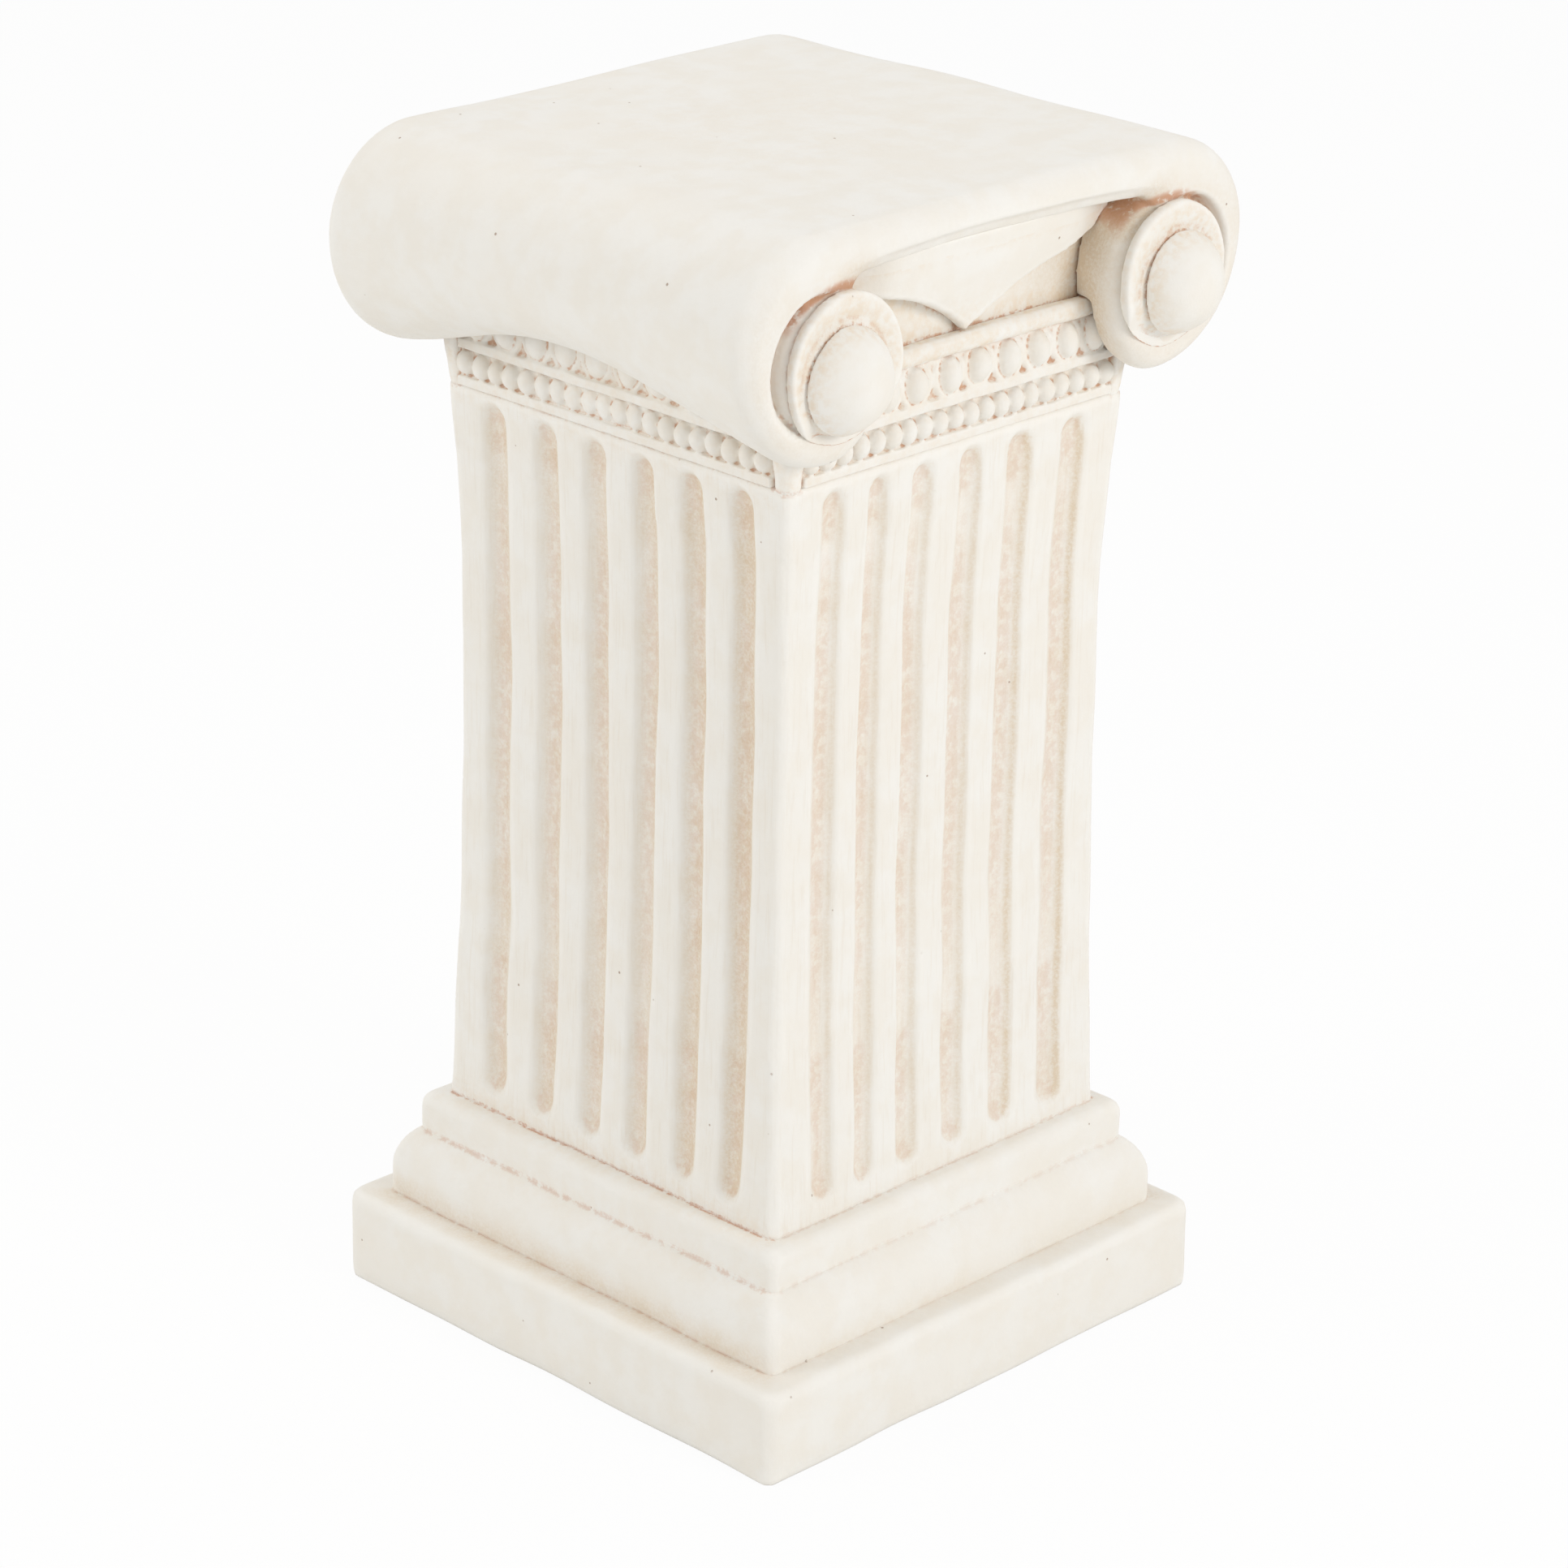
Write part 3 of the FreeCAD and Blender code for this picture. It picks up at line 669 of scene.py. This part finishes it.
def thin_ends(points):
    """An apron's ends run out into the wall behind them."""
    share = smooth_step(30, 45, np.abs(points[:, 0]))
    ahead = np.abs(points[:, 1])
    points[:, 1] = np.sign(points[:, 1]) * (ahead - 0.55 * share * np.clip(ahead - 55.5, 0, None))
    return points


def make_trim(node, voxel, passes, waves, seed):
    piece = copy_of(node, node + "_cast")
    soften(piece, voxel, passes)
    if node.startswith("apron"):
        move_points(piece, thin_ends(points_of(piece)))
    move_points(piece, keep_inside(uneven(piece, 14.0, waves, seed), node))
    finish_shape(piece)
    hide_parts(node)
    return piece


courses = {}
for face in FACES:
    courses["bead_course_" + face] = make_bead_course(face)
    courses["egg_course_" + face] = make_egg_course(face)
    courses["ledge_" + face] = make_trim("ledge_" + face, 0.6, 3, 0.5, 12)
for face in ("front", "back"):
    courses["apron_" + face] = make_trim("apron_" + face, 0.9, 3, 0.5, 14)


# ---- where the wash gathers ---------------------------------------------------------

def skin_edges(piece):
    edges = np.empty(len(piece.data.edges) * 2, dtype=np.int64)
    piece.data.edges.foreach_get("vertices", edges)
    return edges.reshape(-1, 2)


def skin_normals(piece):
    flat = np.empty(len(piece.data.vertices) * 3, dtype=np.float32)
    piece.data.vertices.foreach_get("normal", flat)
    return flat.reshape(-1, 3).astype(float)


def averaged(values, edges, passes):
    count = np.bincount(edges.ravel(), minlength=len(values)).clip(1)
    for _ in range(passes):
        total = np.zeros_like(values)
        for column in range(values.shape[1]):
            total[:, column] = np.bincount(edges[:, 0], values[edges[:, 1], column], len(values))
            total[:, column] += np.bincount(edges[:, 1], values[edges[:, 0], column], len(values))
        values = 0.5 * values + 0.5 * total / count[:, None]
    return values


def mark_hollows(piece, fine, broad):
    """Store how far each point lies below its surroundings, near by and further off."""
    points, edges, normals = points_of(piece), skin_edges(piece), skin_normals(piece)
    near = averaged(points, edges, fine)
    far = averaged(near, edges, broad)
    for name, ring in (("crease", near), ("hollow", far)):
        depth = np.einsum("ij,ij->i", ring - points, normals)
        depth = averaged(depth[:, None], edges, 1)[:, 0]
        store(piece, name, depth)


def store(piece, name, values):
    layer = piece.data.attributes.new(name, "FLOAT", "POINT")
    layer.data.foreach_set("value", values.astype(np.float32))


def mark_flutes(piece):
    """Store how deep each point of the shaft lies in a flute, and how far left or right of its middle."""
    points = points_of(piece)
    depth, beside = np.zeros(len(points)), np.zeros(len(points))
    for name, angle in FACES.items():
        turn = math.radians(angle)
        across = points[:, 0] * math.cos(turn) + points[:, 1] * math.sin(turn)
        ahead = points[:, 0] * math.sin(turn) - points[:, 1] * math.cos(turn)
        on_face = np.flatnonzero((ahead > 44) & (np.abs(across) < 48.5) & (np.abs(across) < ahead))
        layer = (points[on_face, 2] / 3).astype(int)
        rows = np.unique(layer)
        flat = [np.percentile(ahead[on_face[layer == row]], 85) for row in rows]
        depth[on_face] = np.interp(points[on_face, 2], rows * 3 + 1.5, flat) - ahead[on_face]
        gaps = across[on_face][:, None] - np.array(FLUTES[name])[None, :]
        nearest = np.abs(gaps).argmin(axis=1)
        beside[on_face] = gaps[np.arange(len(on_face)), nearest] / 4.2
    fade = smooth_step(54.5, 57, points[:, 2]) * smooth_step(237, 234.5, points[:, 2])
    store(piece, "flute", smooth_step(0.4, 2.3, depth) * fade)
    store(piece, "beside", beside)


def mark_joints(pieces):
    """Store each point's distance in millimetres to the nearest other piece, up to 12."""
    trees, boxes = {}, {}
    for name, piece in pieces.items():
        mesh = piece.data
        corners = points_of(piece)
        faces = [list(polygon.vertices) for polygon in mesh.polygons]
        trees[name] = BVHTree.FromPolygons(corners.tolist(), faces)
        boxes[name] = (corners.min(axis=0) - 12, corners.max(axis=0) + 12)
    for name, piece in pieces.items():
        corners = points_of(piece)
        reach = np.full(len(corners), 12.0)
        for other, tree in trees.items():
            if other == name:
                continue
            low, high = boxes[other]
            near = np.flatnonzero(((corners > low) & (corners < high)).all(axis=1))
            for index in near:
                found = tree.find_nearest(Vector(corners[index]), reach[index])
                if found[3] is not None:
                    reach[index] = min(reach[index], found[3])
        store(piece, "joint", reach)


pieces = dict(sections)
pieces.update(courses)
pieces.update({"rim_" + corner: piece for corner, piece in rims.items()})
pieces.update({"eye_" + corner: piece for corner, piece in eyes.items()})
for name, piece in pieces.items():
    if name in sections:
        mark_hollows(piece, 2, 10)
    else:
        mark_hollows(piece, 5, 16)
mark_flutes(sections["shaft"])
mark_joints(pieces)


def joints_of(piece):
    values = np.empty(len(piece.data.vertices), dtype=np.float32)
    piece.data.attributes["joint"].data.foreach_get("value", values)
    return values


def clear_joint(piece, where):
    """No wash line where two pieces run into each other."""
    cleared = np.maximum(joints_of(piece), 12 * where)
    piece.data.attributes["joint"].data.foreach_set("value", cleared.astype(np.float32))


def below_rim(points):
    """Where the rim runs out into the outer turn: 1 there, 0 elsewhere."""
    across, rise = np.abs(points[:, 0]) - RIM_X, points[:, 2] - RIM_Z
    angle = np.degrees(np.arctan2(-rise, across)) % 360
    near = smooth_step(24, 21, np.hypot(across, rise)) * smooth_step(14.5, 16, np.hypot(across, rise))
    return smooth_step(25, 50, angle) * smooth_step(180, 150, angle) * near


for name, piece in pieces.items():
    corners = points_of(piece)
    if name == "scroll" or name.startswith("rim"):
        clear_joint(piece, below_rim(corners))
    if name == "scroll" or name.startswith("apron"):
        under_lip = (np.abs(corners[:, 0]) < 44) & (corners[:, 2] > 286) & (np.abs(corners[:, 1]) > 60)
        clear_joint(piece, under_lip.astype(float))


# ---- paint --------------------------------------------------------------------------

def cast_paint(name, seed, joint_line=1.0, halo_tint=1.0, hollow_tint=1.0, crease_line=1.0, streaks=0.0,
               pool=None, seam=None, stain=None):
    """Cream matt paint over a cast body, with a brown wash wiped off all but the hollows.

    pool says where more wash gathers, and on the rolls and the core's wall where painted shade and shadow
    darken the colour; seam where the joints' lines show, stain where the orange lies plain.
    """
    sheet = Sheet(name)
    place = sheet.place()
    point = sheet.node("ShaderNodeVectorMath", {"operation": "ADD"},
                       {0: place, 1: (seed * 31.0, seed * 17.0, seed * 7.0)})
    broad = sheet.grain(point, 0.03, 2)
    patch = sheet.grain(point, 0.11, 3)
    fine = sheet.grain(point, 1.3, 4, 0.65)
    speck = sheet.grain(point, 2.6, 2, 0.7)
    broken = sheet.grain(point, 0.45, 3, 0.6)
    crease, hollow, joint = (sheet.attribute(name) for name in ("crease", "hollow", "joint"))

    cream = sheet.mix(patch.within(0.35, 0.68), tone(243, 241, 236), tone(241, 237, 229))
    cream = sheet.mix(broad.within(0.4, 0.7) * 0.5, cream, tone(241, 236, 227))
    if streaks:
        brushed = sheet.grain(sheet.stretched(point, (1.0, 1.0, 0.07)), 1.1, 3, 0.6)
        cream = sheet.mix(brushed.within(0.5, 0.72) * streaks, cream, tone(231, 222, 208))

    tint = hollow.within(0.05, 0.55) * hollow_tint
    if pool is not None:
        tint = tint.most(pool(sheet, place))
    tint = (tint * (0.45 + 0.9 * patch) * (0.5 + fine.within(0.3, 0.7) * 0.7)).held()
    # the tan tint is brown wash, and on the rolls and the core's wall also painted shade
    colour = sheet.mix(tint * 0.62, cream, tone(215, 191, 156))

    if seam is not None:
        joint_line = seam(sheet, place) * joint_line
    halo = joint.within(7.0, 0.5) * broken.within(0.35, 0.7) * joint_line * (0.5 * halo_tint)
    colour = sheet.mix(halo, colour, tone(229, 200, 160))
    line = (joint + (fine - 0.5) * 1.4).within(0.95, 0.25) * broken.within(0.4, 0.56) * joint_line
    thin = (crease + (speck - 0.5) * 0.04).within(0.035, 0.10) * broken.within(0.36, 0.58) * crease_line
    rust = line.most(thin)
    if stain is not None:
        rust = rust.most(stain(sheet, place) * broken.within(0.3, 0.5))
    rust = rust.held()
    colour = sheet.mix(rust * 0.8, colour, tone(198, 128, 76))

    distance, pick = sheet.cells(point, 0.16)
    pit = distance.within(0.066, 0.042) * pick.within(0.83, 0.84)
    colour = sheet.mix(pit * 0.65, colour, tone(146, 108, 78))
    worn_edge = (0 - crease).within(0.03, 0.12)
    colour = sheet.mix(worn_edge * 0.5, colour, tone(249, 247, 242))

    soft = sheet.bump(sheet.grain(point, 0.12, 3), 1.0, 0.35)
    skin = sheet.bump(sheet.grain(point, 0.9, 5, 0.62) + fine * 0.35 - pit * 1.5 - rust * 0.5, 0.16, 0.5,
                      soft)
    rough = 0.62 + 0.2 * fine + 0.1 * tint
    return sheet.finish(colour, rough, skin)


def on_sides(sheet, place):
    """1 on the left and right faces, 0 on the front and the back."""
    across, deep, height = sheet.axes(place)
    return (across.size() - deep.size()).within(-2.0, 2.0)


def flute_pool(sheet, place):
    """The wash in the flutes: full on the sides, a thin line on the front and the back."""
    across, deep, height = sheet.axes(place)
    flute, beside = sheet.attribute("flute"), sheet.attribute("beside")
    wall = flute * (1 - flute) * 4
    ends = height.within(110.0, 58.0) * 0.2 + height.within(205.0, 236.0) * 0.2
    full = flute * (0.45 + ends + deep.within(-8.0, -40.0) * 0.3 + beside.within(-0.5, 0.5) * 0.35)
    thin = flute * (0.2 + ends) + beside.within(0.2, 0.6) * wall * 0.8
    thin = thin * (0.55 + across.within(-10.0, 45.0) * 0.6)
    sides = on_sides(sheet, place)
    return full * sides + thin * (1 - sides)


def base_seam(sheet, place):
    """The lines between the base's steps, plain on the sides and nearly wiped off the front and back."""
    across, deep, height = sheet.axes(place)
    foot = height.within(46.0, 50.0)
    return (0.35 + 0.65 * on_sides(sheet, place)) * (0.45 + 0.55 * foot)


def roll_wash_and_shade(sheet, place):
    """The wash on the rolls' ends and inner sides, with painted shade on the inner sides, darker towards
    the core, and under the rolls.
    """
    across, deep, height = sheet.axes(place)
    side, ahead = across.size(), deep.size()
    # painted shade with orange wash on the rolls' inner sides, darker towards the core
    inner = side.within(52.0, 42.0) * height.within(291.0, 286.0) * ahead.within(53.0, 55.0)
    inner = inner * (0.15 + 0.95 * ahead.within(69.5, 58.0))
    band = ahead.within(68.6, 69.8) * height.within(296.0, 284.0) * 0.2
    # painted shade under the rolls
    painted_shade_under_roll = height.within(262.0, 250.0) * ahead.within(66.0, 56.0) * side.within(66.0, 60.0)
    over = from_rim(sheet, place).within(27.0, 18.5) * height.within(276.0, 284.0)
    over = over * ahead.within(54.0, 58.0) * side.within(60.0, 46.0)
    return (inner * 1.1).most(band).most(painted_shade_under_roll * 0.8).most(over)


def from_rim(sheet, place):
    """Distance from the middle of the nearest rim, seen from the front."""
    across, deep, height = sheet.axes(place)
    aside, rise = across.size() - RIM_X, height - RIM_Z
    return (aside * aside + rise * rise).power(0.5)


def roll_stain(sheet, place):
    """The plain orange line left in the crease over each rim."""
    across, deep, height = sheet.axes(place)
    radius = from_rim(sheet, place)
    line = radius.within(17.0, 17.7) * radius.within(20.4, 18.6)
    return line * height.within(279.0, 283.0) * deep.size().within(56.0, 60.0) * 0.85


def core_wash_and_shadow(sheet, place):
    """Pinkish wash on the core's wall, and a painted shadow of the rolls, darker next to them."""
    across, deep, height = sheet.axes(place)
    side = across.size()
    # the first share is wash; the second, next to the rolls, is painted shadow
    return (side.within(8.0, 30.0) * 0.45 + side.within(31.0, 40.0) * 0.5) * height.within(261.0, 264.0)


def base_pool(sheet, place):
    """The broad glow of wash along the foot of the second step, mostly on the sides."""
    across, deep, height = sheet.axes(place)
    near = sheet.attribute("joint").within(8.5, 0.3) * height.within(33.0, 29.0)
    return near * (0.12 + 0.4 * on_sides(sheet, place))


paints = {
    "base": cast_paint("wiped cream, base", 1, joint_line=0.8, halo_tint=0.4, hollow_tint=0.6,
                       crease_line=0.5, pool=base_pool, seam=base_seam),
    "shaft": cast_paint("wiped cream, shaft", 2, joint_line=0.9, halo_tint=0.4, hollow_tint=0.5,
                        crease_line=0.2, streaks=0.3, pool=flute_pool, seam=base_seam),
    "core": cast_paint("wiped cream and painted shadow, core", 3, joint_line=0.8, hollow_tint=1.0, pool=core_wash_and_shadow),
    "scroll": cast_paint("wiped cream and painted shade, scroll", 4, joint_line=0.8, halo_tint=0.5, hollow_tint=0.8,
                         crease_line=0.5, pool=roll_wash_and_shade, stain=roll_stain),
    "rows": cast_paint("wiped cream, beads", 5, joint_line=0.3, hollow_tint=1.0, crease_line=0.8),
    "ledge": cast_paint("wiped cream, ledge", 6, joint_line=1.0, hollow_tint=0.8),
    "rim": cast_paint("wiped cream, rim", 7, joint_line=0.9, hollow_tint=0.8),
    "eye": cast_paint("wiped cream, eye", 8, joint_line=0.9, hollow_tint=0.5),
}


def paint_for(name):
    for start, paint in (("plinth", "base"), ("base", "base"), ("shaft", "shaft"), ("capital", "core"),
                         ("scroll", "scroll"), ("bead", "rows"), ("egg", "rows"), ("ledge", "ledge"),
                         ("apron", "ledge"), ("rim", "rim"), ("eye", "eye")):
        if name.startswith(start):
            return paints[paint]


for name, piece in pieces.items():
    piece.data.materials.append(paint_for(name))
for node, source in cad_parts.items():
    for slot in source.material_slots:
        slot.material = paints["core"]
